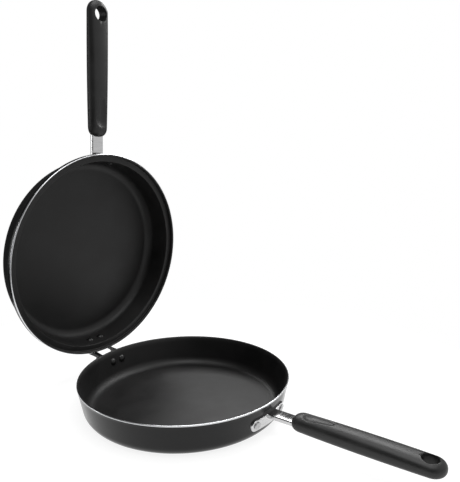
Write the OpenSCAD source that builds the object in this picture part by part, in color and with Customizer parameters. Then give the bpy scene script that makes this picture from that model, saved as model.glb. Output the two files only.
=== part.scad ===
// Double sided flip pan: two shallow non-stick pans joined by a rivet hinge, each with its own handle.
// The lower pan stands on its base and the upper pan is shown open, leaning back on the hinge stop.
// Frame: origin at the centre of the lower pan's underside, +Z up, lower handle along +X,
// hinge on the -X side with its pin along Y. Millimetres.

/* [Lower pan] */
// Outer radius of the lower pan's rim
rim_r = 120; // [112:1:128]
// Height of the lower pan
pan_h = 38; // [36:0.5:44]
// How far the flat part of the lower base lies inside the rim
base_in = 19; // [16:0.5:26]
// Outer radius of the curve between base and wall, on both pans
corner_r = 14; // [10:0.5:15]
// Thickness of the pressed sheet, on both pans
sheet_t = 2.8; // [2:0.1:3.4]

/* [Upper pan] */
// How far the upper lip stands out beyond the lower rim
lip_out = 6; // [5:0.5:8]
// Depth of the step that drops over the lower rim
lip_depth = 5; // [4:0.5:6]
// How far the top of the upper wall lies inside the lower rim's outside
seat_in = 0.7; // [0:0.1:1.2]
// Height of the upper pan, from base to lip edge
cover_h = 39.5; // [38:0.5:44]
// How far the flat part of the upper base lies inside the lower rim's outside
cover_base_in = 17.5; // [16:0.5:26]
// Radius of the lip's outer bend
lip_bend_r = 3.2; // [3:0.2:4]

/* [Hinge] */
// Distance of the pin's axis outside the lower rim
pin_out = 12.5; // [12:0.5:16]
// Distance of the pin's axis below the lower rim
pin_drop = 12; // [11:0.5:13]
// Angle between the closed and the open upper pan
open_angle = 86; // [80:1:88]
// Radius of the hinge pin
pin_r = 2.5; // [2:0.1:3]
// Thickness of the hinge brackets
hinge_t = 2; // [1.5:0.1:2.2]
// Radius of the ears round the pin
ear_r = 5.4; // [4.6:0.1:5.6]
// Half of the gap between the lower bracket's ears
ear_gap_half = 10.6; // [10.4:0.1:12]
// Height of the two hinge webs
web_h = 13; // [12:0.5:14]
// Distance of the webs' middle below the top of the walls
web_drop = 13.8; // [13:0.1:14.5]
// Radius of the corners of the hinge webs
web_corner_r = 3; // [1:0.5:4]
// Width of the upper ears between the lip and the pin
arm_w = 3.8; // [3:0.2:6]
// Height of the slope at the back of the upper ears
arm_slope = 9; // [7:0.5:12]
// Length of the rest on which the open upper lip leans
rest_len = 5; // [3:0.5:6]
// Thickness of the hinge washers
washer_t = 0.8; // [0.5:0.1:1.2]
// Radius of the hinge washers
washer_r = 4.6; // [4.2:0.1:5.4]
// Radius of the hinge pin's two heads
pin_head_r = 4.2; // [3.6:0.1:5]
// Thickness of the hinge pin's two heads
pin_head_t = 2; // [1.5:0.1:3]
// Bevel of the hinge pin's two heads
pin_head_bevel = 0.7; // [0.2:0.1:1.2]

/* [Rivets] */
// Radius of all rivet shanks
rivet_r = 2.2; // [1.8:0.1:2.5]
// Radius of the domed rivet heads inside the pans
dome_r = 4.6; // [4:0.1:5]
// Height of the domed rivet heads
dome_h = 2.2; // [1.5:0.1:3]
// Radius of the flat rivet heads of the hinge
hinge_head_r = 3.1; // [2.8:0.1:3.2]
// Radius of the flat rivet heads of the handles
handle_head_r = 4.2; // [3.5:0.1:5]
// Thickness of the flat rivet heads
flat_head_t = 1.3; // [1:0.1:2]
// Distance of the hinge rivets from the middle plane, lower pan
lower_hinge_rivet_y = 7.1; // [6.8:0.1:7.3]
// Distance of the hinge rivets from the middle plane, upper pan
upper_hinge_rivet_y = 8.2; // [7:0.1:9]
// Distance of the handle rivets from the middle plane
handle_rivet_y = 22.5; // [16:0.5:24]

/* [Handle brackets] */
// Thickness of the handle bracket's sheet
strap_t = 2; // [1.5:0.1:2.5]
// Half of the length of the plate along the wall
plate_half = 30; // [28:0.5:34]
// Height of the plate
plate_h = 13.2; // [12:0.2:14]
// Width of the tang
tang_w = 15.4; // [13:0.2:16]
// Depth of the tang's side flanges, from its top face
flange_h = 4.5; // [3.5:0.1:5]
// How far the tang reaches into the grip
tang_in = 52; // [46:1:60]

/* [Grips] */
// Distance of the grips from the lower rim
grip_gap = 25; // [22:1:32]
// Length of a grip
grip_len = 151; // [140:1:170]
// Distance of a grip's axis below its pan's rim
grip_drop = 12.8; // [12.5:0.1:13.2]
// Width of a grip at the pan end
root_w = 23; // [21:0.5:24]
// Width of a grip at the hang hole
hang_w = 26; // [25:0.5:28]
// Thickness of a grip at the pan end
root_t = 17.5; // [16.5:0.5:18.5]
// Thickness of a grip where it is thickest
belly_t = 18.5; // [17.5:0.5:19]
// Thickness of a grip at the hang hole
hang_t = 15.5; // [14:0.5:17]
// Distance of a grip's thickest place from its pan end
belly_at = 60; // [50:1:80]
// Radius of a grip's edges
grip_edge = 7; // [4:0.5:7]
// How far the pan end of a grip bulges
root_bulge = 2; // [1:0.5:4]
// Radius of the hang hole
hang_r = 8; // [6:0.5:9]
// Distance of the hang hole's middle from the grip's end
hang_in = 15; // [14:0.5:17]
// Depth of the thumb dimple
dimple_depth = 2.8; // [1.5:0.1:3.5]
// Distance of the thumb dimple's deepest place from the pan end
dimple_at = 20; // [16:1:26]
// Length of the thumb dimple's tapering tail
dimple_len = 20; // [12:1:30]
// Radius of the ball that shapes the thumb dimple
dimple_r = 11; // [9:0.5:14]

/* [Grip screws] */
// Distance of the screw from the tang's end
screw_back = 8; // [6:0.5:12]
// Depth of the screw's seat in the grip's outer face
seat_depth = 3; // [2.5:0.1:4]
// Radius of the screw's shank
screw_r = 2; // [1.5:0.1:2.2]
// Radius of the screw's head
screw_head_r = 4; // [3.5:0.1:4.5]
// Height of the screw's head
screw_head_h = 2.4; // [2:0.1:3]
// Length of the head's cross slots
slot_len = 4.8; // [3:0.2:6]
// Width of the head's cross slots
slot_w = 1; // [0.6:0.1:1.4]
// Depth of the head's cross slots
slot_depth = 1.2; // [0.8:0.1:1.6]
// Outer radius of the brass insert
insert_r = 3.4; // [3:0.1:4]
// Length of the brass insert
insert_len = 5; // [4:0.5:5.5]
// How far the screw ends short of the insert's end
tip_short = 0.6; // [0.2:0.1:2]

/* [Fits] */
// Gap between pieces of the two pans where they rest on each other
rest_gap = 0.3; // [0.2:0.05:0.5]
// Gap between the upper ears and the lip that they reach round
lip_gap = 1.5; // [1:0.1:2]
// Radial gap of the ears that turn on the pin
pin_gap = 0.05; // [0.02:0.01:0.1]
// Gap on each side of a hinge washer and between the ears
side_gap = 0.2; // [0.1:0.05:0.4]
// Gap round the tang in the grip
tang_gap = 0.2; // [0.1:0.05:0.3]
// Gap between the tang's end and the end of its socket
end_gap = 1; // [0.5:0.1:2]
// Radial gap round the screw in the grip and the tang
screw_gap = 0.25; // [0.2:0.05:0.4]
// Radial gap round the screw's head in its seat
head_gap = 0.3; // [0.2:0.05:0.6]
// Radial gap between the screw and its insert
thread_gap = 0.05; // [0.02:0.01:0.1]

/* [Hidden] */
$fn = 96;

coating = [0.10, 0.10, 0.105];
phenolic = [0.17, 0.17, 0.18];
steel = [0.74, 0.74, 0.75];
brass = [0.78, 0.62, 0.32];

// How far joined shapes of one piece sink into each other, and how far a cutter stands proud.
bite = 0.4;
cut = 1;

// The wall leans outwards: its line touches the corner's arc and passes through the top point.
function lean_of(base_r, top_r, top_z) =
  let (a = top_r - base_r, b = top_z - corner_r) acos(corner_r / norm([a, b])) - atan2(b, a);

// A pan's wall is held as [radius at the top, height of the top, lean].
flat_r = rim_r - base_in;
cover_flat_r = rim_r - cover_base_in;
lip_r = rim_r + lip_out;
seat_z = cover_h - lip_depth;
seat_r = rim_r - seat_in;
lower_wall = [rim_r, pan_h, lean_of(flat_r, rim_r, pan_h)];
upper_wall = [seat_r, seat_z, lean_of(cover_flat_r, seat_r, seat_z)];

// Outer radius of a wall at height z, and the direction square to it.
function wall_r(wall, z) = wall[0] - (wall[1] - z) * tan(wall[2]);
function wall_out(wall) = [cos(wall[2]), -sin(wall[2])];

// Hinge: the pin's place in the XZ plane, and the turn from closed to open.
pin = [-(rim_r + pin_out), pan_h - pin_drop];
closed_z = pan_h - lip_depth + rest_gap;
function swung(p) = let (d = p - pin, c = cos(open_angle), s = sin(open_angle))
  pin + [c * d[0] - s * d[1], s * d[0] + c * d[1]];
// Height, with the pan closed, of a point z above the upper pan's base.
function flipped(z) = closed_z + cover_h - z;

// Places along the pin, from the middle outwards.
lower_ear_out = ear_gap_half + hinge_t;
upper_ear_in = lower_ear_out + side_gap;
upper_ear_out = upper_ear_in + hinge_t;
washer_in = upper_ear_out + side_gap;
pin_shank_half = washer_in + washer_t;

// Each web's middle on its own pan, and the half height over which the ears leave the web.
lower_web_z = pan_h - web_drop;
upper_web_z = seat_z - web_drop;
root_half = web_h / 2 - web_corner_r / 3;

// Handles: heights are measured on each pan's own wall.
function grip_z(rim_z) = rim_z - grip_drop;
function tang_top(rim_z) = grip_z(rim_z) + strap_t / 2;
function plate_mid(rim_z) = tang_top(rim_z) - plate_h / 2;
function screw_seat(rim_z) = grip_z(rim_z) - belly_t / 2 + seat_depth;
grip_x = rim_r + grip_gap;
hang_x = grip_x + grip_len - hang_in;
tang_end = grip_x + tang_in;
screw_x = tang_end - screw_back;

// ---- Shapes that repeat ----

// Half profile of a filled dish whose surface lies inset from the pan's outside.
module dish_2d(base_r, wall, inset = 0) {
  r = corner_r - inset;
  out = wall_out(wall);
  up = [sin(wall[2]), cos(wall[2])] * (inset > 0 ? cut : 0);
  top = [wall[0], wall[1]] - out * inset + up;
  translate([0, inset]) square([base_r, corner_r - inset]);
  translate([base_r, corner_r]) circle(r);
  polygon([[0, corner_r], [base_r, corner_r] + out * r, top, [0, top[1]]]);
}

// Puts children on a wall, y off the middle plane, at height z, their Z axis square to the wall.
module on_wall(wall, y, z, back = false) {
  r = wall_r(wall, z);
  rotate([0, 0, (back ? 180 : 0) + asin(y / r)])
    translate([r, 0, z])
      rotate([0, 90 + wall[2], 0])
        children();
}

// A flat shape in the YZ plane, pushed along X from the middle past the rim.
module facing(z, back = false) {
  translate([0, 0, z]) rotate([0, 0, back ? 180 : 0]) rotate([90, 0, 90])
    linear_extrude(height = 2 * rim_r) children();
}

// Sheet of thickness t laid on the outside of a wall between two heights.
module wall_band(wall, z0, z1, t) {
  out = wall_out(wall) * t;
  low = [wall_r(wall, z0), z0];
  high = [wall_r(wall, z1), z1];
  rotate_extrude() polygon([low, low + out, high + out, high]);
}

// A bar with round ends, and a plate with rounded corners, both centred.
module stadium(half, h) {
  square([2 * half - h, h], center = true);
  for (s = [-1, 1]) translate([s * (half - h / 2), 0]) circle(d = h);
}
module rounded_plate(w, h, r) {
  square([w, h - 2 * r], center = true);
  square([w - 2 * r, h], center = true);
  for (sx = [-1, 1], sy = [-1, 1]) translate([sx * (w / 2 - r), sy * (h / 2 - r)]) circle(r);
}

// Rivet through wall and bracket: dome inside the pan, flat formed head outside.
// The dome sits as deep as the round wall falls away under its edge.
module rivet(bracket_t, head_r) {
  inside = sheet_t + dome_r * dome_r / (2 * rim_r);
  ball_r = (dome_r * dome_r + dome_h * dome_h) / (2 * dome_h);
  translate([0, 0, -inside - bite]) cylinder(r = rivet_r, h = inside + bracket_t + 2 * bite);
  translate([0, 0, -inside]) mirror([0, 0, 1]) rotate_extrude() intersection() {
    translate([0, dome_h - ball_r]) circle(ball_r);
    square([dome_r, dome_h]);
  }
  translate([0, 0, bracket_t]) cylinder(r = head_r, h = flat_head_t);
}

module rivet_pair(wall, y, z, bracket_t, head_r, back = false) {
  for (s = [-1, 1]) on_wall(wall, s * y, z, back) rivet(bracket_t, head_r);
}
module rivet_holes(wall, y, z, back = false) {
  reach = 2 * sheet_t;
  for (s = [-1, 1]) on_wall(wall, s * y, z, back)
    translate([0, 0, -reach]) cylinder(r = rivet_r, h = 2 * reach);
}

// Handle bracket: curved plate on the wall, and a flanged tang that leaves its top edge.
module handle_bracket(wall, rim_z) {
  top = tang_top(rim_z);
  mid = plate_mid(rim_z);
  root = wall_r(wall, top) + bite;
  difference() {
    union() {
      intersection() {
        wall_band(wall, mid - plate_h, top + bite, strap_t);
        facing(mid) stadium(plate_half, plate_h);
      }
      translate([root, -tang_w / 2, top - strap_t]) cube([tang_end - root, tang_w, strap_t]);
      for (s = [-1, 1]) translate([root, s * (tang_w - strap_t) / 2 - strap_t / 2, top - flange_h])
        cube([tang_end - root, strap_t, flange_h - bite]);
    }
    rivet_holes(wall, handle_rivet_y, mid);
    translate([screw_x, 0, top - strap_t - cut])
      cylinder(r = screw_r + screw_gap, h = strap_t + 2 * cut);
  }
}

// Grip: one smooth body, widest at its round hang end, with socket, dimple and screw seat.
module grip(rim_z) {
  z = grip_z(rim_z);
  top = tang_top(rim_z);
  under = z - belly_t;
  belly_w = (root_w + hang_w) / 2;
  difference() {
    hull() {
      for (sy = [-1, 1], sz = [-1, 1]) {
        translate([
          grip_x + root_bulge + grip_edge, sy * (root_w / 2 - grip_edge), z + sz * (root_t / 2 - grip_edge)
        ]) sphere(grip_edge, $fn = 24);
        translate([grip_x + belly_at, sy * (belly_w / 2 - grip_edge), z + sz * (belly_t / 2 - grip_edge)])
          sphere(grip_edge, $fn = 24);
      }
      translate([grip_x + root_w / 2, 0, z])
        scale([1, (root_w - root_bulge) / root_w, (root_t - root_bulge) / root_w])
          sphere(root_w / 2, $fn = 32);
      translate([grip_x + grip_len - hang_w / 2, 0, z]) rotate_extrude($fn = 40) intersection() {
        translate([hang_w / 2 - hang_t / 2, 0]) circle(hang_t / 2, $fn = 24);
        translate([0, -hang_t / 2]) square([hang_w / 2, hang_t]);
      }
    }
    translate([grip_x - cut, -tang_w / 2 - tang_gap, top - flange_h - tang_gap])
      cube([tang_in + cut + end_gap, tang_w + 2 * tang_gap, flange_h + 2 * tang_gap]);
    translate([hang_x, 0, under]) cylinder(r = hang_r, h = 2 * belly_t);
    translate([screw_x, 0, under]) cylinder(r = screw_head_r + head_gap, h = screw_seat(rim_z) - under);
    translate([screw_x, 0, under]) cylinder(r = screw_r + screw_gap, h = z - under);
    translate([screw_x, 0, top]) cylinder(r = insert_r, h = tang_gap + insert_len);
    thumb_dimple(z + belly_t / 2);
  }
}

// Teardrop hollow for the thumb, round towards the pan and tapering out towards the belly.
module thumb_dimple(face_z) {
  tail_r = dimple_r / 3;
  tail_depth = dimple_depth / 3;
  hull() {
    translate([grip_x + dimple_at, 0, face_z + dimple_r - dimple_depth]) sphere(dimple_r, $fn = 32);
    translate([grip_x + dimple_at + dimple_len, 0, face_z + tail_r - tail_depth])
      sphere(tail_r, $fn = 24);
  }
}

// Brass insert above the tang, and the screw that draws the grip, the tang and the insert together.
module grip_insert(rim_z) {
  translate([screw_x, 0, tang_top(rim_z) + tang_gap]) difference() {
    cylinder(r = insert_r, h = insert_len);
    translate([0, 0, -cut]) cylinder(r = screw_r + thread_gap, h = insert_len + 2 * cut);
  }
}
module grip_screw(rim_z) {
  seat = screw_seat(rim_z);
  tip = tang_top(rim_z) + tang_gap + insert_len - tip_short;
  translate([screw_x, 0, seat]) cylinder(r = screw_r, h = tip - seat);
  translate([screw_x, 0, seat - screw_head_h]) difference() {
    cylinder(r = screw_head_r, h = screw_head_h);
    for (a = [0, 90]) rotate([0, 0, a]) translate([-slot_len / 2, -slot_w / 2, -cut])
      cube([slot_len, slot_w, cut + slot_depth]);
  }
}

// Two ears of a hinge bracket, cut from one flat outline in the XZ plane.
module ears(inner_y) {
  for (s = [-1, 1]) translate([0, s * (inner_y + hinge_t / 2), 0]) rotate([90, 0, 0])
    linear_extrude(height = hinge_t, center = true) children();
}

// The web of a hinge bracket on its wall.
module hinge_web(wall, z, ear_out) {
  intersection() {
    wall_band(wall, z - web_h, z + web_h, hinge_t);
    facing(z, back = true) rounded_plate(2 * ear_out, web_h, web_corner_r);
  }
}

module pin_hole(r) {
  translate([pin[0], 0, pin[1]]) rotate([90, 0, 0])
    cylinder(r = r, h = 2 * pin_shank_half, center = true);
}

// Turns what is drawn on the closed upper pan open about the pin.
module swing() {
  translate([pin[0], 0, pin[1]]) rotate([0, -open_angle, 0]) translate([-pin[0], 0, -pin[1]])
    children();
}
// Places what is drawn on the upper pan standing on its own base, in the open pose.
module opened() {
  swing() translate([0, 0, closed_z + cover_h]) rotate([180, 0, 0]) children();
}

// ---- Lower pan and what is fixed to it ----

module lower_pan() {
  color(coating) difference() {
    rotate_extrude() difference() {
      dish_2d(flat_r, lower_wall);
      dish_2d(flat_r, lower_wall, sheet_t);
    }
    rivet_holes(lower_wall, handle_rivet_y, plate_mid(pan_h));
    rivet_holes(lower_wall, lower_hinge_rivet_y, lower_web_z, back = true);
  }
}

module lower_handle_bracket() {
  color(steel) handle_bracket(lower_wall, pan_h);
}

module lower_handle_rivets() {
  color(steel) rivet_pair(lower_wall, handle_rivet_y, plate_mid(pan_h), strap_t, handle_head_r);
}

module lower_grip() {
  color(phenolic) grip(pan_h);
}

module lower_grip_insert() {
  color(brass) grip_insert(pan_h);
}

module lower_grip_screw() {
  color(steel) grip_screw(pan_h);
}

// The lower ears carry the pin and end in a rest for the open upper lip.
module lower_hinge_bracket() {
  low_z = lower_web_z - root_half;
  high_z = lower_web_z + root_half;
  lip_x = -(sqrt(lip_r * lip_r - ear_gap_half * ear_gap_half) + rest_gap);
  rest_near = swung([lip_x, closed_z]);
  rest_far = swung([lip_x, closed_z + rest_len]);
  color(steel) difference() {
    union() {
      hinge_web(lower_wall, lower_web_z, lower_ear_out);
      ears(ear_gap_half) {
        translate(pin) circle(ear_r);
        polygon([
          [-(wall_r(lower_wall, low_z) + bite), low_z], [-(wall_r(lower_wall, high_z) + bite), high_z],
          rest_near, rest_far, rest_far - [0, hinge_t],
          pin - [ear_r, 0], pin - [0, ear_r]
        ]);
      }
    }
    rivet_holes(lower_wall, lower_hinge_rivet_y, lower_web_z, back = true);
    pin_hole(pin_r);
  }
}

module lower_hinge_rivets() {
  color(steel)
    rivet_pair(lower_wall, lower_hinge_rivet_y, lower_web_z, hinge_t, hinge_head_r, back = true);
}

// The pin is riveted over a washer at each end.
module hinge_pin() {
  color(steel) translate([pin[0], 0, pin[1]]) rotate([90, 0, 0]) {
    cylinder(r = pin_r, h = 2 * pin_shank_half, center = true);
    for (s = [0, 1]) mirror([0, 0, s]) translate([0, 0, pin_shank_half])
      cylinder(r1 = pin_head_r, r2 = pin_head_r - pin_head_bevel, h = pin_head_t);
  }
}

module hinge_washers() {
  color(steel) for (s = [0, 1]) mirror([0, s, 0])
    translate([pin[0], washer_in, pin[1]]) rotate([-90, 0, 0]) difference() {
      cylinder(r = washer_r, h = washer_t);
      translate([0, 0, -cut]) cylinder(r = pin_r, h = washer_t + 2 * cut);
    }
}

// ---- Upper pan and what is fixed to it ----

// The wall ends in a ledge that meets the lower rim, and a lip that drops round the rim.
module upper_pan() {
  ledge_z = seat_z - sheet_t;
  color(coating) opened() difference() {
    rotate_extrude() difference() {
      union() {
        dish_2d(cover_flat_r, upper_wall);
        translate([0, ledge_z]) square([lip_r - lip_bend_r, sheet_t + lip_depth]);
        translate([lip_r - lip_bend_r, ledge_z + lip_bend_r]) circle(lip_bend_r);
        translate([0, ledge_z + lip_bend_r]) square([lip_r, cover_h - ledge_z - lip_bend_r]);
      }
      dish_2d(cover_flat_r, upper_wall, sheet_t);
      translate([0, seat_z]) square([lip_r - sheet_t, lip_depth + cut]);
    }
    rivet_holes(upper_wall, handle_rivet_y, plate_mid(cover_h));
    rivet_holes(upper_wall, upper_hinge_rivet_y, upper_web_z, back = true);
  }
}

module upper_handle_bracket() {
  color(steel) opened() handle_bracket(upper_wall, cover_h);
}

module upper_handle_rivets() {
  color(steel) opened()
    rivet_pair(upper_wall, handle_rivet_y, plate_mid(cover_h), strap_t, handle_head_r);
}

module upper_grip() {
  color(phenolic) opened() grip(cover_h);
}

module upper_grip_insert() {
  color(brass) opened() grip_insert(cover_h);
}

module upper_grip_screw() {
  color(steel) opened() grip_screw(cover_h);
}

// The upper ears reach round the lip to the pin, outside the lower ears.
module upper_hinge_bracket() {
  low_z = upper_web_z - root_half;
  high_z = upper_web_z + root_half;
  knee = [-(lip_r + lip_gap), flipped(seat_z - sheet_t) + lip_gap];
  color(steel) difference() {
    union() {
      opened() hinge_web(upper_wall, upper_web_z, upper_ear_out);
      swing() ears(upper_ear_in) {
        translate(pin) circle(ear_r);
        polygon([
          [knee[0] - arm_w, pin[1]], [knee[0] - arm_w, flipped(low_z) - arm_slope],
          [-(wall_r(upper_wall, low_z) + bite), flipped(low_z)],
          [-(wall_r(upper_wall, high_z) + bite), flipped(high_z)],
          knee, [pin[0] + ear_r, pin[1]]
        ]);
      }
    }
    opened() rivet_holes(upper_wall, upper_hinge_rivet_y, upper_web_z, back = true);
    pin_hole(pin_r + pin_gap);
  }
}

module upper_hinge_rivets() {
  color(steel) opened()
    rivet_pair(upper_wall, upper_hinge_rivet_y, upper_web_z, hinge_t, hinge_head_r, back = true);
}

lower_pan();
lower_handle_bracket();
lower_handle_rivets();
lower_grip();
lower_grip_insert();
lower_grip_screw();
lower_hinge_bracket();
lower_hinge_rivets();
hinge_pin();
hinge_washers();
upper_pan();
upper_handle_bracket();
upper_handle_rivets();
upper_grip();
upper_grip_insert();
upper_grip_screw();
upper_hinge_bracket();
upper_hinge_rivets();
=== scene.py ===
"""A double sided flip pan: two black non-stick pans on a rivet hinge, dressed round its CAD frame.

The file follows the pan as it is put together: lower pan, its handle, the hinge, then the upper pan
and its handle. Lengths are in millimetres until a mesh is made; a Blender object is in metres.
"""

import math

import bmesh
import bpy
import numpy as np
from mathutils import Matrix


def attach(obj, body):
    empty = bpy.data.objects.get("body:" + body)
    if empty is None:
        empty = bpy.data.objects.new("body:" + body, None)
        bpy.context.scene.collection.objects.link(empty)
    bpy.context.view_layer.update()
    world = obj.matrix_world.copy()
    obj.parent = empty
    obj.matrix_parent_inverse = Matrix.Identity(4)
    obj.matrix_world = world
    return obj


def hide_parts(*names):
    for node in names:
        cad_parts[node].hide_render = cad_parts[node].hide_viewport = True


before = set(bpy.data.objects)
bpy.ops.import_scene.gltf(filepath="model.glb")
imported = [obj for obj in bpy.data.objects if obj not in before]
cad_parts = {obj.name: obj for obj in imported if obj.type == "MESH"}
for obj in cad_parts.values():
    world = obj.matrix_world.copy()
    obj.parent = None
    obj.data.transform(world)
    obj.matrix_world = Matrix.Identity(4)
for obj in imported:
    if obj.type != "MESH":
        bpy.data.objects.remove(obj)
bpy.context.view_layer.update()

# -------------------- camera
# It stands right of the open mouth, a little above the upper pan's middle: place, turn, rise and
# roll come from fitting the photographed rims, rivets and grips.
PHOTO_WIDE, PHOTO_HIGH = 460, 482
SENSOR = 36.0
focal_px, centre_x, centre_y = 529.73, 249.14, 254.93
turn, rise, roll = np.radians([34.53, 11.67, 0.55])

backward = np.array([np.sin(turn) * np.cos(rise), -np.cos(turn) * np.cos(rise), np.sin(rise)])
level = np.array([np.cos(turn), np.sin(turn), 0.0])
upward = np.cross(backward, level)
rightward = np.cos(roll) * level + np.sin(roll) * upward
upward = np.cross(backward, rightward)

lens = bpy.data.cameras.new("photo_lens")
lens.sensor_width = SENSOR
lens.lens = focal_px / PHOTO_HIGH * SENSOR
lens.shift_x = (PHOTO_WIDE / 2 - centre_x) / PHOTO_HIGH
lens.shift_y = (centre_y - PHOTO_HIGH / 2) / PHOTO_HIGH
camera = bpy.data.objects.new("photo_camera", lens)
standing = np.eye(4)
standing[:3, :3] = np.stack([rightward, upward, backward], axis=1)
standing[:3, 3] = np.array([384.64, -430.54, 295.83]) / 1000
camera.matrix_world = Matrix(standing.tolist())
bpy.context.scene.collection.objects.link(camera)
bpy.context.scene.camera = camera
bpy.context.scene.view_settings.view_transform = "Standard"

# -------------------- studio
# A pale floor disc in a white studio. The camera sees the studio white; gloss and glass see it pale
# at the right, behind the open pan's mouth, and dim all round; soft boxes do the rest.


def linear(code):
    """Colour from an sRGB hex code, as linear red, green, blue and alpha 1."""
    parts = np.array([int(code[i:i + 2], 16) for i in (1, 3, 5)]) / 255
    parts = np.where(parts <= 0.04045, parts / 12.92, ((parts + 0.055) / 1.055) ** 2.4)
    return (*parts.tolist(), 1.0)


def add_node(tree, kind, inputs=None, **settings):
    """Adds a node. settings are its own fields; an input takes a value or a socket."""
    made = tree.nodes.new(kind)
    for field, value in settings.items():
        setattr(made, field, value)
    for socket, value in (inputs or {}).items():
        if isinstance(value, bpy.types.NodeSocket):
            tree.links.new(value, made.inputs[socket])
        else:
            made.inputs[socket].default_value = value
    return made


def empty_tree(owner):
    """Turns on a material's or world's nodes, clears them and returns the tree."""
    owner.use_nodes = True
    owner.node_tree.nodes.clear()
    return owner.node_tree


def larger(tree, first, second):
    """The larger of two values."""
    return add_node(tree, "ShaderNodeMath", {0: first, 1: second}, operation="MAXIMUM").outputs[0]


def mixed_value(tree, factor, first, second):
    """A value between two others."""
    return add_node(tree, "ShaderNodeMix", {0: factor, 2: first, 3: second}, data_type="FLOAT").outputs[0]


def spread(tree, value, start, end):
    """A value from start to end taken to 0 to 1, and held there beyond."""
    return add_node(tree, "ShaderNodeMapRange", {0: value, 1: start, 2: end}).outputs[0]


def seen_ray(tree):
    """1 for a ray from the camera, a gloss or a clear surface, and 0 for light that is scattered."""
    path = add_node(tree, "ShaderNodeLightPath")
    mirrored = larger(tree, path.outputs["Is Glossy Ray"], path.outputs["Is Transmission Ray"])
    return larger(tree, path.outputs["Is Camera Ray"], mirrored)


STUDIO_LIGHT, DIM_SIDE, BRIGHT_SIDE = 0.34, 0.08, 0.75
BRIGHT_TOWARDS, BRIGHT_FROM, BRIGHT_TO = (0.94, 0.34, 0), 0.30, 0.75

studio = bpy.data.worlds.new("white_studio")
bpy.context.scene.world = studio
tree = empty_tree(studio)
look = add_node(tree, "ShaderNodeTexCoord").outputs["Generated"]
rightward_share = add_node(
    tree, "ShaderNodeVectorMath", {0: look, 1: BRIGHT_TOWARDS}, operation="DOT_PRODUCT",
).outputs["Value"]
towards_right = spread(tree, rightward_share, BRIGHT_FROM, BRIGHT_TO)
mirrored = mixed_value(tree, towards_right, DIM_SIDE, BRIGHT_SIDE)
to_camera = add_node(tree, "ShaderNodeLightPath").outputs["Is Camera Ray"]
shown = mixed_value(tree, to_camera, mirrored, 1.0)
glow = mixed_value(tree, seen_ray(tree), STUDIO_LIGHT, shown)
sky = add_node(tree, "ShaderNodeBackground", {"Color": linear("#ffffff"), "Strength": glow})
add_node(tree, "ShaderNodeOutputWorld", {"Surface": sky.outputs[0]})


def soft_box(name, place, target, wide, high, watts):
    """A rectangular area lamp at place that faces target, in metres."""
    lamp = bpy.data.lights.new(name, "AREA")
    lamp.shape = "RECTANGLE"
    lamp.size, lamp.size_y = wide, high
    lamp.energy = watts
    box = bpy.data.objects.new(name, lamp)
    away = np.array(place) - np.array(target)
    away = away / np.linalg.norm(away)
    side = np.cross([0.0, 0.02, 1.0], away)
    side = side / np.linalg.norm(side)
    turned_to = np.eye(4)
    turned_to[:3, :3] = np.stack([side, np.cross(away, side), away], axis=1)
    turned_to[:3, 3] = place
    box.matrix_world = Matrix(turned_to.tolist())
    box.visible_camera = False
    bpy.context.scene.collection.objects.link(box)


soft_box("overhead_box", (0.15, -0.15, 1.25), (0.0, 0.0, 0.05), 0.9, 0.9, 8.0)
soft_box("back_box", (-0.22, 0.75, 0.90), (0.0, 0.0, 0.05), 1.2, 0.45, 12.0)
soft_box("left_box", (-1.00, -0.78, 0.35), (-0.15, 0.0, 0.17), 0.15, 0.6, 0.9)


def link_object(name, mesh):
    """Makes an object for a mesh and puts it in the scene."""
    thing = bpy.data.objects.new(name, mesh)
    bpy.context.scene.collection.objects.link(thing)
    return thing


FLOOR_R, FLOOR_GLOW = 0.42, 0.86
around = np.linspace(0, 2 * np.pi, 97)[:-1]
floor_mesh = bpy.data.meshes.new("floor")
floor_mesh.from_pydata(
    np.stack([FLOOR_R * np.cos(around), FLOOR_R * np.sin(around), 0 * around], axis=1).tolist(),
    [], [list(range(len(around)))],
)
# Painted board: white to the eye, a little darker only where the pan keeps the light off it.
paint = bpy.data.materials.new("white_painted_board")
tree = empty_tree(paint)
board = add_node(tree, "ShaderNodeBsdfDiffuse", {"Color": linear("#e9e9e9")})
lift = add_node(tree, "ShaderNodeEmission", {"Color": linear("#ffffff"), "Strength": FLOOR_GLOW})
dim = add_node(tree, "ShaderNodeBsdfDiffuse", {"Color": linear("#8c8c8c")})
bright = add_node(tree, "ShaderNodeAddShader", {0: dim.outputs[0], 1: lift.outputs[0]})
mixed = add_node(tree, "ShaderNodeMixShader", {
    0: seen_ray(tree), 1: board.outputs[0], 2: bright.outputs[0],
})
add_node(tree, "ShaderNodeOutputMaterial", {"Surface": mixed.outputs[0]})
floor_mesh.materials.append(paint)
link_object("floor", floor_mesh)

# -------------------- lower pan
# A shallow pan pressed from 2.8 mm aluminium sheet. It is sprayed black outside, coated with
# non-stick inside, and its edge and the recess of its base are turned bare afterwards.
SHEET = 2.8
CORNER = 14.0
LOWER_RIM = 120.0
LOWER_TALL = 38.0
LOWER_FLAT = 101.0
LACQUER, BARE, NONSTICK = 0, 1, 2
ROUND_STEPS = 256


def wall_line(flat, top_r, top_z):
    """A wall: its radius and height at the top, and the lean of the line that touches the corner."""
    across, rise_up = top_r - flat, top_z - CORNER
    lean = math.acos(CORNER / math.hypot(across, rise_up)) - math.atan2(rise_up, across)
    return top_r, top_z, lean


def wall_radius(wall, z):
    """Outer radius of a wall at height z: the top radius less the drop times the lean's tangent."""
    return wall[0] - (wall[1] - z) * np.tan(wall[2])


def arc(r, z, radius, start, end, steps):
    """Points of an arc about (r, z): centre plus radius times (cos a, sin a), a in degrees."""
    a = np.radians(np.linspace(start, end, steps))
    return np.stack([r + radius * np.cos(a), z + radius * np.sin(a)], axis=1)


def line(start, end, steps):
    """Evenly spaced points from start to end, both included."""
    return np.linspace(start, end, steps)


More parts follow.
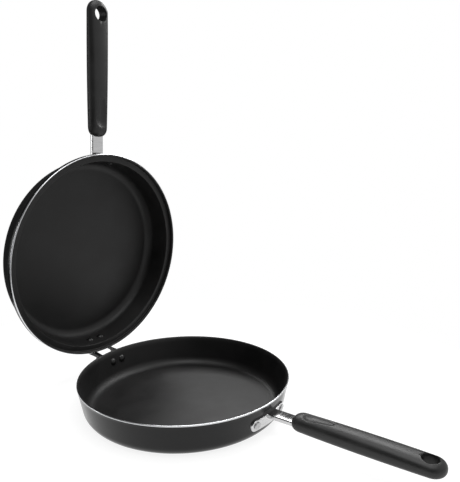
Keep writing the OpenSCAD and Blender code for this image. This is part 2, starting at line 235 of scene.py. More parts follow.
def chain(*parts):
    """Joins (zone, points) parts to one profile; a span takes the zone of the part it ends in."""
    points = np.concatenate([p for _, p in parts])
    zones = np.concatenate([np.full(len(p), zone) for zone, p in parts])
    keep = np.ones(len(points), bool)
    keep[1:] = np.linalg.norm(np.diff(points, axis=0), axis=1) > 1e-6
    return points[keep], zones[keep][1:]


def spin(profile, steps=ROUND_STEPS):
    """Surface of revolution about Z: (r, z) goes to (r cos t, r sin t, z), t once round."""
    t = np.linspace(0, 2 * np.pi, steps, endpoint=False)
    r, z = profile[:, :1], profile[:, 1:]
    return np.stack([r * np.cos(t), r * np.sin(t), z + 0 * t], axis=2)


def quads(rows, cols, wrap_rows=False):
    """Index quads of a grid of rows by cols points whose columns, and if told so rows, join up."""
    i = np.arange(rows if wrap_rows else rows - 1)[:, None]
    j = np.arange(cols)[None, :]
    corners = [(i, j), (i + 1, j), (i + 1, j + 1), (i, j + 1)]
    return np.stack([(a % rows) * cols + b % cols for a, b in corners], axis=2).reshape(-1, 4)


def shell(points, faces, zones=None):
    """A bundle of mesh data in millimetres: points, faces and each face's material index."""
    faces = [list(f) for f in faces.tolist()] if isinstance(faces, np.ndarray) else faces
    zones = np.zeros(len(faces), int) if zones is None else np.asarray(zones)
    return {"points": points.reshape(-1, 3), "faces": faces, "zones": zones}


def turned(profile, zones, steps=ROUND_STEPS):
    """Closed shell of revolution of a profile that starts and ends on the axis."""
    points = spin(profile, steps)
    return shell(points, quads(len(profile), steps), np.repeat(zones, steps))


def together(*shells):
    """Several shells as one."""
    starts = np.cumsum([0] + [len(s["points"]) for s in shells])
    return {
        "points": np.concatenate([s["points"] for s in shells]),
        "faces": [[i + k for i in f] for s, k in zip(shells, starts.tolist()) for f in s["faces"]],
        "zones": np.concatenate([s["zones"] for s in shells]),
    }


def moved(part, placing):
    """A shell whose points went through a placing function."""
    return {**part, "points": placing(part["points"])}


SHARP_ANGLE = math.radians(38)


def mesh_of(name, part):
    """Mesh in metres from a shell: poles merged, faces turned outwards, sharp edges kept."""
    mesh = bpy.data.meshes.new(name)
    mesh.from_pydata((part["points"] / 1000).tolist(), [], part["faces"])
    mesh.polygons.foreach_set("material_index", part["zones"].astype(np.int32))
    tidy = bmesh.new()
    tidy.from_mesh(mesh)
    bmesh.ops.remove_doubles(tidy, verts=tidy.verts, dist=1e-6)
    bmesh.ops.recalc_face_normals(tidy, faces=tidy.faces)
    tidy.to_mesh(mesh)
    tidy.free()
    mesh.polygons.foreach_set("use_smooth", np.ones(len(mesh.polygons), bool))
    mesh.set_sharp_from_angle(angle=SHARP_ANGLE)
    mesh.update()
    return mesh


def combine(thing, operation, *others):
    """Joins closed shells to a piece, or cuts them from it, one by one, with the exact solver."""
    for other in others:
        tool = link_object("tool", mesh_of("tool", other))
        step = thing.modifiers.new("step", "BOOLEAN")
        step.operation, step.solver, step.object = operation, "EXACT", tool
        bpy.context.view_layer.update()
        seen = thing.evaluated_get(bpy.context.evaluated_depsgraph_get())
        result = bpy.data.meshes.new_from_object(seen)
        thing.modifiers.clear()
        old, thing.data = thing.data, result
        bpy.data.meshes.remove(old)
        bpy.data.objects.remove(tool)
    thing.data.polygons.foreach_set("use_smooth", np.ones(len(thing.data.polygons), bool))
    thing.data.set_sharp_from_angle(angle=SHARP_ANGLE)


def rounded_edge(r, top, lean, tall):
    """Top edge of a wall whose outside meets the top at r: a small bare round outside, where the lathe
    cleaned it, and inside a coated quarter ellipse, tall high, in which the wall flares."""
    outer = arc(r - BARE_ROUND, top - BARE_ROUND, BARE_ROUND, -math.degrees(lean), 90, 7)
    bend = np.radians(np.linspace(0, 90, 16))
    across = (SHEET - BARE_ROUND) * np.sin(bend) + tall * math.tan(lean) * (1 - np.cos(bend))
    inner = np.stack([r - BARE_ROUND - across, top - tall * (1 - np.cos(bend))], axis=1)
    return (BARE, outer), (NONSTICK, inner)


FOOT_WIDE, FOOT_COATED = 9.0, 8.0
RECESS_DEEP, RECESS_SLOPE, BOSS_R = 0.30, 1.0, 4.0
GROOVES, GROOVE_DEEP, GROOVE_MOUTH, GROOVE_BED = 6, 0.62, 1.6, 0.9
FIRST_GROOVE_R, LAST_GROOVE_IN = 14.0, 10.0


def base_outside(flat):
    """Half of a base seen from below: a turned recess with shallow grooves, then the foot ring."""
    recess_r = flat - FOOT_WIDE
    half = [(0.0, RECESS_DEEP), (BOSS_R, RECESS_DEEP)]
    for middle in np.linspace(FIRST_GROOVE_R, recess_r - LAST_GROOVE_IN, GROOVES):
        half += [
            (middle - GROOVE_MOUTH, RECESS_DEEP), (middle - GROOVE_BED, GROOVE_DEEP),
            (middle + GROOVE_BED, GROOVE_DEEP), (middle + GROOVE_MOUTH, RECESS_DEEP),
        ]
    return np.array(half + [(recess_r - RECESS_SLOPE, RECESS_DEEP), (recess_r, 0.0)])


lower_wall = wall_line(LOWER_FLAT, LOWER_RIM, LOWER_TALL)
lean_deg = math.degrees(lower_wall[2])
BARE_ROUND, BARE_STEP, LOWER_FLARE = 0.8, 0.6, 6.0
BARE_FROM = LOWER_TALL - BARE_ROUND - BARE_STEP
lower_profile, lower_zones = chain(
    (BARE, base_outside(LOWER_FLAT)),
    (LACQUER, line((LOWER_FLAT - FOOT_COATED, 0), (LOWER_FLAT, 0), 4)),
    (LACQUER, arc(LOWER_FLAT, CORNER, CORNER, -90, -lean_deg, 18)),
    (LACQUER, line(
        (wall_radius(lower_wall, CORNER), CORNER), (wall_radius(lower_wall, BARE_FROM), BARE_FROM), 8,
    )),
    *rounded_edge(LOWER_RIM, LOWER_TALL, lower_wall[2], LOWER_FLARE),
    (NONSTICK, arc(LOWER_FLAT, CORNER, CORNER - SHEET, -lean_deg, -90, 16)),
    (NONSTICK, line((LOWER_FLAT, SHEET), (0, SHEET), 14)),
)


def shader_of(name):
    """A new material with a principled shader on its output: the material, its tree, the shader."""
    made = bpy.data.materials.new(name)
    tree = empty_tree(made)
    shader = add_node(tree, "ShaderNodeBsdfPrincipled")
    add_node(tree, "ShaderNodeOutputMaterial", {"Surface": shader.outputs[0]})
    return made, tree, shader


def set_shader(shader, **values):
    """Sets a shader's own sockets, named with _ for a space, or links what feeds them."""
    for name, value in values.items():
        socket = shader.inputs[name.replace("_", " ")]
        if isinstance(value, bpy.types.NodeSocket):
            shader.id_data.links.new(value, socket)
        else:
            socket.default_value = value


def noise_of(tree, grain_mm, detail=2.0, stretch=(1, 1, 1)):
    """Noise, a factor round 0.5, in patches about grain_mm across once the place is stretched."""
    place = add_node(tree, "ShaderNodeTexCoord").outputs["Object"]
    place = add_node(tree, "ShaderNodeMapping", {"Vector": place, "Scale": stretch}).outputs[0]
    return add_node(tree, "ShaderNodeTexNoise", {
        "Vector": place, "Scale": 1000 / grain_mm, "Detail": detail,
    }).outputs[0]


def ranged(tree, value, low, high):
    """A factor's middle, 0.35 to 0.65, taken to low to high."""
    return add_node(tree, "ShaderNodeMapRange", {
        0: value, 1: 0.35, 2: 0.65, 3: low, 4: high,
    }).outputs[0]


def two_tone(tree, pattern, first, second):
    """A colour that goes from one sRGB hex colour to another with a pattern."""
    return add_node(tree, "ShaderNodeMix", {
        0: ranged(tree, pattern, 0, 1), 6: linear(first), 7: linear(second),
    }, data_type="RGBA").outputs[2]


def bump_of(tree, height, deep_mm, strength):
    """Normal of a relief that is deep_mm from low to high."""
    return add_node(tree, "ShaderNodeBump", {
        "Height": height, "Distance": deep_mm / 1000, "Strength": strength,
    }).outputs[0]


# Sprayed non-stick (PTFE of index 1.35 in resin, taken as 1.45): matt and nearly black, because its
# grain of 0.8 mm spreads the gloss; it greys at a grazing look, more where the spray lies thick
# (30 mm clouds). Its gloss level is lowered until it is as dark as in the photo.
nonstick, tree, shader = shader_of("sprayed_nonstick_coating")
clouds = noise_of(tree, 30)
grain = noise_of(tree, 0.8, 1.0)
set_shader(
    shader, IOR=1.45, Specular_IOR_Level=0.46,
    Base_Color=two_tone(tree, clouds, "#0d0d0d", "#121111"),
    Roughness=ranged(tree, clouds, 0.44, 0.52),
    Normal=bump_of(tree, grain, 0.03, 0.5),
)

# Baked black lacquer (index 1.5): smooth with a slight orange peel of 2.5 mm, so it mirrors the
# soft boxes, the bracket and the floor darkly, a little softer where the haze lies (24 mm clouds).
lacquer, tree, shader = shader_of("baked_black_lacquer")
peel = noise_of(tree, 2.5, 1.0)
haze = noise_of(tree, 24)
set_shader(
    shader, IOR=1.5, Specular_IOR_Level=0.28,
    Base_Color=two_tone(tree, haze, "#0a0a0b", "#0f0f0f"),
    Roughness=ranged(tree, haze, 0.13, 0.22),
    Normal=bump_of(tree, peel, 0.02, 0.25),
)

# Bare aluminium, turned on the lathe after coating: bright, with fine lines round the pan. The
# real feed is about 0.2 mm; it is drawn at 1.1 mm so that it shows.
bare, tree, shader = shader_of("turned_bare_aluminium")
rings = add_node(tree, "ShaderNodeAttribute", attribute_name="turning").outputs["Vector"]
cut_lines = add_node(tree, "ShaderNodeTexNoise", {
    "Vector": rings, "Scale": 900.0, "Detail": 2.0,
}).outputs[0]
set_shader(
    shader, Metallic=1.0,
    Base_Color=two_tone(tree, cut_lines, "#d2d3d5", "#e6e7e9"),
    Roughness=ranged(tree, cut_lines, 0.22, 0.36),
    Normal=bump_of(tree, cut_lines, 0.03, 0.6),
)


def fit_piece(name, mesh, body, slot, finishes, *nodes):
    """Puts a finished mesh in the scene as the piece that stands for some CAD nodes."""
    piece = link_object(name, mesh)
    for finish in finishes:
        piece.data.materials.append(finish)
    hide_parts(*nodes)
    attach(piece, body)
    return piece


def vertex_places(mesh):
    """A mesh's vertices as an array in millimetres."""
    places = np.zeros(len(mesh.vertices) * 3)
    mesh.vertices.foreach_get("co", places)
    return places.reshape(-1, 3) * 1000


def turning_lines(mesh):
    """Keeps each vertex's distance from the Z axis in metres, for the lathe lines: (distance, 0, 0)."""
    kept = mesh.attributes.new("turning", "FLOAT_VECTOR", "POINT")
    values = np.zeros((len(mesh.vertices), 3), np.float32)
    values[:, 0] = np.hypot(*vertex_places(mesh)[:, :2].T) / 1000
    kept.data.foreach_set("vector", values.ravel())


lower_mesh = mesh_of("lower_pan_body", turned(lower_profile, lower_zones))
turning_lines(lower_mesh)
fit_piece("lower_pan_body", lower_mesh, "lower", "nonstick_pan", (lacquer, bare, nonstick), "lower_pan")

# -------------------- lower handle bracket
# One stamping of 2 mm stainless sheet: a plate with round ends, curved to the wall and riveted
# through it, and a tang with two stiffening flanges that runs into the grip.
STRAP = 2.0
GRIP_BELOW = 12.8
PLATE_HALF, PLATE_TALL = 30.0, 13.2
PLATE_EDGE, WALL_BITE = 0.6, 0.3
TANG_HALF, FLANGE_DEEP = 7.7, 4.5
BEND_OUTSIDE, BEND_INSIDE, SHEARED = 1.3, 0.5, 0.4
TANG_ROOT, TANG_BEVEL, TANG_BEVEL_LONG = 0.6, 0.35, 0.4
GRIP_X, TANG_END, SCREW_X = 145.0, 197.0, 189.0


def on_wall(wall, y, z, height):
    """Points at height over a leaning wall, y off the middle plane: the radius there is the wall's
    plus the height along the wall's normal, and x is what is left of the radius beside y."""
    r = wall_radius(wall, z) + height * math.cos(wall[2])
    return np.stack([np.sqrt(r * r - y * y), y + 0 * r, z - height * math.sin(wall[2])], axis=-1)


def plate_outline(half, tall, corner):
    """Outline of a plate with rounded corners, as (y, z) points, top and bottom sampled alike."""
    inner_y, inner_z = half - corner, tall / 2 - corner
    flat = line((-inner_y, tall / 2), (inner_y, tall / 2), 25)[1:-1]
    right_side = arc(inner_y, inner_z, corner, 90, 0, 12)
    lower_right = (right_side * [1, -1])[::-1]
    if inner_z > 1e-6:
        right_side = np.concatenate([right_side, line((half, inner_z), (half, -inner_z), 5)[1:-1]])
    else:
        lower_right = lower_right[1:]
    upper = np.concatenate([flat, right_side, lower_right])
    return np.concatenate([upper, -upper])


def wall_plate(wall, mid_z, half, tall, corner, thick, edge):
    """A sheet on a wall: its outline shrinks to its middle line on both faces, and the outer edge
    is rounded by edge; each point's height over the wall comes from its row."""
    rim = plate_outline(half, tall, corner)
    core = np.stack([np.clip(rim[:, 0], tall / 2 - half, half - tall / 2), 0 * rim[:, 1]], axis=1)
    out = rim - core
    out = out / np.linalg.norm(out, axis=1, keepdims=True)
    bend = np.radians(np.linspace(0, 90, 6))
    insets = np.concatenate([[0, 0], edge * (1 - np.cos(bend))])
    heights = np.concatenate([[0, 0.5 * thick], thick - edge + edge * np.sin(bend)])
    rows = [(core + (rim - core) * s, -WALL_BITE) for s in np.linspace(0, 1, 5)[:-1]]
    rows += [(rim - out * inset, height) for inset, height in zip(insets, heights)]
    last = rim - out * edge
    rows += [(last + (core - last) * s, thick) for s in np.linspace(0, 1, 6)[1:]]
    points = np.stack([on_wall(wall, yz[:, 0], mid_z + yz[:, 1], height) for yz, height in rows])
    return shell(points, quads(len(rows), len(rim)))


def prism(section, path_x, shrink):
    """A closed (y, z) section carried along X: at each x the section is drawn in by shrink."""
    ahead = np.roll(section, -1, axis=0) - np.roll(section, 1, axis=0)
    normal = np.stack([ahead[:, 1], -ahead[:, 0]], axis=1)
    normal = normal / np.linalg.norm(normal, axis=1, keepdims=True)
    rows = [section - normal * inward for inward in shrink]
    points = np.stack([
        np.concatenate([np.full((len(row), 1), x), row], axis=1) for x, row in zip(path_x, rows)
    ])
    count = len(section)
    faces = quads(len(rows), count).tolist()
    ends = [list(range(count)), list(range((len(rows) - 1) * count, len(rows) * count))[::-1]]
    return shell(points, faces + ends)


def filleted(corners, radii, steps=5):
    """A polygon with each corner rounded: an arc of its radius that touches both sides."""
    corners = np.asarray(corners, float)
    done = []
    for before, at, after, radius in zip(np.roll(corners, 1, 0), corners, np.roll(corners, -1, 0), radii):
        a, b = before - at, after - at
        a, b = a / np.linalg.norm(a), b / np.linalg.norm(b)
        half = math.acos(np.clip(a @ b, -1, 1)) / 2
        if radius <= 0 or math.cos(half) < 1e-3:
            done.append(at[None])
            continue
        start, end = at + a * radius / math.tan(half), at + b * radius / math.tan(half)
        s = np.linspace(0, 1, steps)[:, None]
        centre = at + (a + b) / np.linalg.norm(a + b) * radius / math.sin(half)
        arm = (start - centre) * (1 - s) + (end - centre) * s
        done.append(centre + arm / np.linalg.norm(arm, axis=1, keepdims=True) * radius)
    return np.concatenate(done)


def handle_bracket(wall, rim_z):
    """The plate and the tang of a handle bracket, as two closed shells."""
    top = rim_z - GRIP_BELOW + STRAP / 2
    plate = wall_plate(
        wall, top - PLATE_TALL / 2, PLATE_HALF, PLATE_TALL, PLATE_TALL / 2, STRAP, PLATE_EDGE,
    )
    low, within = top - FLANGE_DEEP, TANG_HALF - STRAP
    section = filleted(
        [
            (-TANG_HALF, top), (TANG_HALF, top), (TANG_HALF, low), (within, low),
            (within, top - STRAP), (-within, top - STRAP), (-within, low), (-TANG_HALF, low),
        ],
        [BEND_OUTSIDE] * 2 + [SHEARED] * 2 + [BEND_INSIDE] * 2 + [SHEARED] * 2,
    )
    root = wall_radius(wall, top) + TANG_ROOT
    stations = np.append(np.linspace(root, TANG_END - TANG_BEVEL_LONG, 16), TANG_END)
    tang = prism(section, stations, [0] * 16 + [TANG_BEVEL])
    return plate, tang


# Brushed stainless sheet: metal with fine lines along the stamping that stretch its highlights.
# The real brushing is 0.1 mm wide; it is drawn 0.5 mm wide and some 12 mm long.
stainless, tree, shader = shader_of("brushed_stainless_sheet")
brushing = noise_of(tree, 1.0, 3.0, (2.0, 0.08, 2.0))
set_shader(
    shader, Metallic=1.0,
    Base_Color=two_tone(tree, brushing, "#bebebf", "#d4d4d4"),
    Roughness=ranged(tree, brushing, 0.10, 0.18),
    Normal=bump_of(tree, brushing, 0.01, 0.12),
)


def as_it_is(points):
    """Lower pan: a piece is drawn where it stands."""
    return points


placing_of = {"lower": as_it_is}


def bracket_piece(side, wall, rim_z):
    """The handle bracket of the lower or upper side, its plate and tang joined in one skin."""
    plate, tang = (moved(part, placing_of[side]) for part in handle_bracket(wall, rim_z))
    name, node = side + "_bracket_stamping", side + "_handle_bracket"
    piece = fit_piece(name, mesh_of(name, plate), side, "stainless_steel", (stainless,), node)
    combine(piece, "UNION", tang)


bracket_piece("lower", lower_wall, LOWER_TALL)

# -------------------- lower handle rivets
# Aluminium rivets set from inside: a low dome that is coated with the pan, a shank through wall
# and plate, and a flat head formed over the plate.
HANDLE_RIVET_Y = 22.5
RIVET_R = 2.2
DOME_R, DOME_TALL, DOME_BITE = 4.6, 2.2, 0.02
HANDLE_HEAD_R, HEAD_TALL, HEAD_ROUND, HEAD_FOOT = 4.2, 1.3, 0.55, 0.25
DISH_FROM, DISH_TO, DISH_EDGE_DEEP, DISH_DEEP = 0.62, 0.55, 0.12, 0.16
COATED, PLAIN = 0, 1


def rivet_shell(plate_thick, head_r):
    """A rivet of revolution on Z, wall outside at z 0: a dome inside the pan, which is a ball's cap,
    the shank, and a formed head with a round edge and a face that the set left slightly dished."""
    inside = SHEET + DOME_R ** 2 / (2 * LOWER_RIM)
    ball = (DOME_R ** 2 + DOME_TALL ** 2) / (2 * DOME_TALL)
    cap_angle = math.degrees(math.asin(DOME_R / ball))
    dome = arc(0, -inside - DOME_TALL + ball, ball, -90, cap_angle - 90, 10)
    face = plate_thick + HEAD_TALL
    head = np.concatenate([
        [(head_r - HEAD_FOOT, plate_thick)],
        arc(head_r - HEAD_ROUND, face - HEAD_ROUND, HEAD_ROUND, -30, 90, 7),
        [(head_r * DISH_FROM, face), (head_r * DISH_TO, face - DISH_EDGE_DEEP), (0, face - DISH_DEEP)],
    ])
    profile, zones = chain(
        (COATED, dome), (COATED, np.array([(RIVET_R, DOME_BITE - inside)])),
        (PLAIN, np.array([(RIVET_R, plate_thick)])), (PLAIN, head),
    )
    return turned(profile, zones, 40)


def set_in_wall(part, wall, y, z, at_back=False):
    """A shell drawn on Z, set square to a wall at (y, z): its Z axis becomes the wall's normal."""
    r = wall_radius(wall, z)
    c, s = math.cos(wall[2]), math.sin(wall[2])
    swing_by = math.asin(y / r) + (math.pi if at_back else 0)
    axes = np.array([[-s, 0, -c], [0, 1, 0], [c, 0, -s]])
    placed = part["points"] @ axes + [r, 0, z]
    ct, st = math.cos(swing_by), math.sin(swing_by)
    turned_by = np.array([[ct, st, 0], [-st, ct, 0], [0, 0, 1]])
    return {**part, "points": placed @ turned_by}


# Coated dome: the same spray as the pan, a touch glossier where it flows over the metal.
dome_coat, tree, shader = shader_of("coated_rivet_dome")
flow = noise_of(tree, 1.5)
set_shader(
    shader, IOR=1.4, Specular_IOR_Level=0.5,
    Base_Color=two_tone(tree, flow, "#131313", "#191919"),
    Roughness=ranged(tree, flow, 0.24, 0.34),
)

# Upset aluminium head: pale grey metal, dulled and slightly dented by the rivet set.
upset, tree, shader = shader_of("upset_aluminium_head")
dents = noise_of(tree, 1.6)
set_shader(
    shader, Metallic=1.0,
    Base_Color=two_tone(tree, dents, "#a9a9aa", "#c6c6c6"),
    Roughness=ranged(tree, dents, 0.34, 0.48),
    Normal=bump_of(tree, dents, 0.08, 0.5),
)


def rivets_piece(side, name, node, rivet, wall, y, z, at_back=False):
    """Two rivets, one on each side of the middle plane, as one piece."""
    pair = together(*(set_in_wall(rivet, wall, off, z, at_back) for off in (-y, y)))
    mesh = mesh_of(name, moved(pair, placing_of[side]))
    fit_piece(name, mesh, side, "coated_rivets", (dome_coat, upset), node)


def handle_rivets(side, wall, rim_z):
    """The rivets of a handle, at the middle of its plate's height."""
    z = rim_z - GRIP_BELOW + STRAP / 2 - PLATE_TALL / 2
    name, node = side + "_bracket_rivets", side + "_handle_rivets"
    rivets_piece(side, name, node, rivet_shell(STRAP, HANDLE_HEAD_R), wall, HANDLE_RIVET_Y, z)


handle_rivets("lower", lower_wall, LOWER_TALL)

# -------------------- lower grip
# A black phenolic moulding, 151 mm long: rounded bar, widest and thinnest at the hang hole, with
# a thumb hollow near the pan. The tang pushes into its socket; a screw holds it from below.
ROOT_X, BELLY_X, TIP_X = 158.0, 205.0, 283.0
ROOT_HALF_W, BELLY_HALF_W, TIP_R = 11.5, 12.25, 13.0
ROOT_HALF_T, BELLY_HALF_T, TIP_HALF_T = 8.75, 9.25, 7.75
HANG_X, HANG_R, HANG_EDGE = 281.0, 8.0, 0.7
GRIP_WIDE = np.polyfit([ROOT_X, BELLY_X, TIP_X], [ROOT_HALF_W, BELLY_HALF_W, TIP_R], 2)
GRIP_THICK = np.polyfit([ROOT_X, BELLY_X, TIP_X], [ROOT_HALF_T, BELLY_HALF_T, TIP_HALF_T], 2)
TANG_PLAY, SOCKET_END = 0.2, TANG_END + 1.0
ROOT_POWER, SECTION_POWER = 2.6, 2.4
HOLLOW_FROM, HOLLOW_TO = 165.0, 186.0
HOLLOW_BALLS, HOLLOW_DEPTHS, HOLLOW_SOFT = (14.0, 5.0), (3.8, 1.6), 0.4
SEAT_BELOW, SEAT_R, MOUTH_R, SHANK_HOLE_R = 6.25, 4.3, 4.9, 2.25
CONE_FROM, CONE_TO = 3.2, 2.6
CUT_OUT, CUT_DOWN = 3.0, 8.0


def thumb_hollow(x, y):
    """Height of the thumb hollow's surface over the grip's axis: a large ball near the pan and a
    small one further out, joined by a cone, each pressed by its depth into the grip's face."""
    along = np.clip((x - HOLLOW_FROM) / (HOLLOW_TO - HOLLOW_FROM), 0, 1)
    ball = HOLLOW_BALLS[0] + (HOLLOW_BALLS[1] - HOLLOW_BALLS[0]) * along
    deep = HOLLOW_DEPTHS[0] + (HOLLOW_DEPTHS[1] - HOLLOW_DEPTHS[0]) * along
    away = np.hypot(x - (HOLLOW_FROM + (HOLLOW_TO - HOLLOW_FROM) * along), y)
    return BELLY_HALF_T + (ball - deep) - np.sqrt(np.clip(ball ** 2 - away ** 2, 0, None))


def grip_outline():
    """Outline in plan, from the middle of the bulging pan end round the +Y side and the tip and back."""
    t = np.radians(np.linspace(0, 90, 22))
    front = np.stack([
        ROOT_X - (ROOT_X - GRIP_X) * np.cos(t) ** (2 / ROOT_POWER),
        ROOT_HALF_W * np.sin(t) ** (2 / ROOT_POWER),
    ], axis=1)
    hollow_end = HOLLOW_TO + 9
    side_x = np.concatenate([
        np.linspace(ROOT_X + 1, hollow_end, 55), np.linspace(hollow_end + 3, HANG_X - HANG_R - 3, 20),
        np.linspace(HANG_X - HANG_R, TIP_X - 0.8, 12),
    ])
    side = np.stack([side_x, np.polyval(GRIP_WIDE, side_x)], axis=1)
    tip = arc(TIP_X, 0, TIP_R, 90, 0, 22)
    half = np.concatenate([front, side, tip])
    return np.concatenate([half, (half * [1, -1])[::-1][1:-1]])


def grip_reach(x, y):
    """How far out a point of the plan lies: 0 on the middle line, 1 on the outline."""
    ahead = ((ROOT_X - x) / (ROOT_X - GRIP_X)).clip(0)
    beyond = ((x - TIP_X) / TIP_R).clip(0)
    power = np.where(x < ROOT_X, ROOT_POWER, 2.0)
    beside = np.abs(y) / np.polyval(GRIP_WIDE, x.clip(ROOT_X, TIP_X))
    return ((ahead + beyond) ** power + beside ** power) ** (1 / power)


def grip_shell(axis_z):
    """The grip as a closed ring through its hang hole. Rows run from the outline to the middle line
    or the hole. At reach s the surface is thick (1 - s^p)^(1/p) over the axis, less the round at the
    hole; above, it gives way to the thumb hollow. The rows come back below through the hole."""
    rim = grip_outline()
    beside = np.clip(HANG_R ** 2 - (rim[:, 0] - HANG_X) ** 2, 0, None)
    straight_in = np.stack([rim[:, 0].clip(ROOT_X), np.sign(rim[:, 1]) * np.sqrt(beside)], axis=1)
    from_hole = rim - [HANG_X, 0]
    radial_in = [HANG_X, 0] + from_hole * HANG_R / np.linalg.norm(from_hole, axis=1, keepdims=True)
    goal = np.where(rim[:, :1] > HANG_X, radial_in, straight_in)
    sweep = np.concatenate([[0, 2, 5, 9], np.linspace(14, 90, 36)])
    share = 1 - np.cos(np.radians(sweep)).clip(0) ** (2 / SECTION_POWER)
    plan = rim + (goal - rim) * share[:, None, None]
    reach = grip_reach(plan[..., 0], plan[..., 1]).clip(0, 1)
    thick = np.polyval(GRIP_THICK, plan[..., 0].clip(ROOT_X, TIP_X))
    height = thick * (1 - reach ** SECTION_POWER) ** (1 / SECTION_POWER)
    to_hole = (np.hypot(plan[..., 0] - HANG_X, plan[..., 1]) - HANG_R).clip(0, HANG_EDGE)
    height = height - (HANG_EDGE - np.sqrt(HANG_EDGE ** 2 - (HANG_EDGE - to_hole) ** 2))
    height[0] = 0
    under_hollow = (height - thumb_hollow(plan[..., 0], plan[..., 1])) / HOLLOW_SOFT
    upper = height - HOLLOW_SOFT * np.logaddexp(0, under_hollow)
    upper[0] = 0
    wall = np.linspace(1, -1, 6)[1:-1, None] * height[-1]
    flat = np.concatenate([plan, np.repeat(plan[-1:], len(wall), axis=0), plan[::-1]])
    level = np.concatenate([upper, wall, -height[::-1]])
    points = np.concatenate([flat, axis_z + level[..., None]], axis=2)
    rows, cols = level.shape
    faces = quads(rows, cols)
    row, col = faces[:, 0] // cols, faces[:, 0] % cols
    in_hole = (row >= len(plan) - 1) & (row < len(plan) + len(wall))
    starts_bar = (goal[col, 1] == 0) & (goal[(col + 1) % cols, 1] == 0) & (rim[col, 0] < HANG_X)
    return shell(points, faces[~(in_hole & starts_bar)])


def block(low, high):
    """A box between two corners."""
    pick = np.array([[0, 0, 0], [1, 0, 0], [1, 1, 0], [0, 1, 0], [0, 0, 1], [1, 0, 1], [1, 1, 1], [0, 1, 1]])
    sides = [[0, 3, 2, 1], [4, 5, 6, 7], [0, 1, 5, 4], [1, 2, 6, 5], [2, 3, 7, 6], [3, 0, 4, 7]]
    return shell(np.where(pick == 1, high, low).astype(float), sides)


def on_screw(part, side):
    """A shell drawn on Z, moved to the screw's axis and placed on its side's pan."""
    return moved({**part, "points": part["points"] + [SCREW_X, 0, 0]}, placing_of[side])


# Moulded phenolic (index about 1.6): satin black from the mould's fine spark texture of 0.6 mm,
# greyed a little by handling in patches some 18 mm across.
phenolic, tree, shader = shader_of("moulded_phenolic")
spark = noise_of(tree, 0.6, 1.0)
handled = noise_of(tree, 18)
set_shader(
    shader, IOR=1.6, Specular_IOR_Level=0.30,
    Base_Color=two_tone(tree, handled, "#1f1f1f", "#252525"),
    Roughness=ranged(tree, handled, 0.38, 0.46),
    Normal=bump_of(tree, spark, 0.04, 0.4),
)


def grip_piece(side, rim_z):
    """A grip with its socket for the tang and the bore and seat for its screw cut out."""
    axis_z = rim_z - GRIP_BELOW
    top = axis_z + STRAP / 2
    half = TANG_HALF + TANG_PLAY
    socket = block(
        (GRIP_X - CUT_OUT, -half, top - FLANGE_DEEP - TANG_PLAY), (SOCKET_END, half, top + TANG_PLAY),
    )
    seat = axis_z - SEAT_BELOW
    low = seat - CUT_DOWN
    bore, zones = chain((0, np.array([
        (0, low), (MOUTH_R, low), (MOUTH_R, seat - CONE_FROM), (SEAT_R, seat - CONE_TO),
        (SEAT_R, seat), (SHANK_HOLE_R, seat), (SHANK_HOLE_R, axis_z), (0, axis_z),
    ])))
    bore = on_screw(turned(bore, zones, 48), side)
    name = side + "_grip_moulding"
    mesh = mesh_of(name, moved(grip_shell(axis_z), placing_of[side]))
    piece = fit_piece(name, mesh, side, "phenolic_grip", (phenolic,), side + "_grip")
    combine(piece, "DIFFERENCE", moved(socket, placing_of[side]), bore)


grip_piece("lower", LOWER_TALL)

# -------------------- lower grip screw and insert
# An M4 pan-head screw with a cross recess draws the tang to a knurled brass insert that was
# moulded into the grip above it.
SCREW_R, THREAD_PITCH, THREAD_DEEP = 2.0, 0.8, 0.4
SCREW_HEAD_R, SCREW_HEAD_TALL, SCREW_HEAD_ROUND, ROD_IN_HEAD = 4.0, 2.4, 1.1, 0.5
CROWN_R, CROWN_TALL = 1.5, 0.04
CROSS_HALF, CROSS_SLOT_HALF, CROSS_DEEP, CROSS_FROM = 2.4, 0.5, 1.2, -9.0
INSERT_R, INSERT_LONG, INSERT_PLAY, TIP_SHORT = 3.4, 5.0, 0.05, 0.6
KNURL_DEEP, KNURL_RAMP, KNURL_TEETH, KNURL_TWIST = 0.35, 0.6, 10, 2.4


def threaded_rod(low, high):
    """A thread on Z: the radius falls between crests that climb one pitch a turn."""
    z = np.arange(low, high + 1e-6, THREAD_PITCH / 8)[:, None]
    t = np.linspace(0, 2 * np.pi, 28, endpoint=False)
    phase = (z - low) / THREAD_PITCH - t / (2 * np.pi)
    fade = np.clip(np.minimum(z - low, high - z) / THREAD_PITCH, 0, 1)
    r = SCREW_R - THREAD_DEEP * fade * np.abs(2 * (phase - np.floor(phase)) - 1)
    body = np.stack([r * np.cos(t), r * np.sin(t), z + 0 * t], axis=2)
    ends = [np.stack([0 * t, 0 * t, np.full_like(t, level)], axis=1)[None] for level in (low, high)]
    points = np.concatenate([ends[0], body, ends[1]])
    return shell(points, quads(len(points), len(t)))


def screw_head(seat):
    """A pan head below its seat: its edge well rounded, its face slightly crowned."""
    low = seat - SCREW_HEAD_TALL
    profile, zones = chain(
        (0, np.array([(0, low), (CROWN_R, low + CROWN_TALL)])),
        (0, arc(SCREW_HEAD_R - SCREW_HEAD_ROUND, low + SCREW_HEAD_ROUND, SCREW_HEAD_ROUND, -75, 0, 8)),
        (0, np.array([(SCREW_HEAD_R, seat), (0, seat)])),
    )
    return turned(profile, zones, 56)


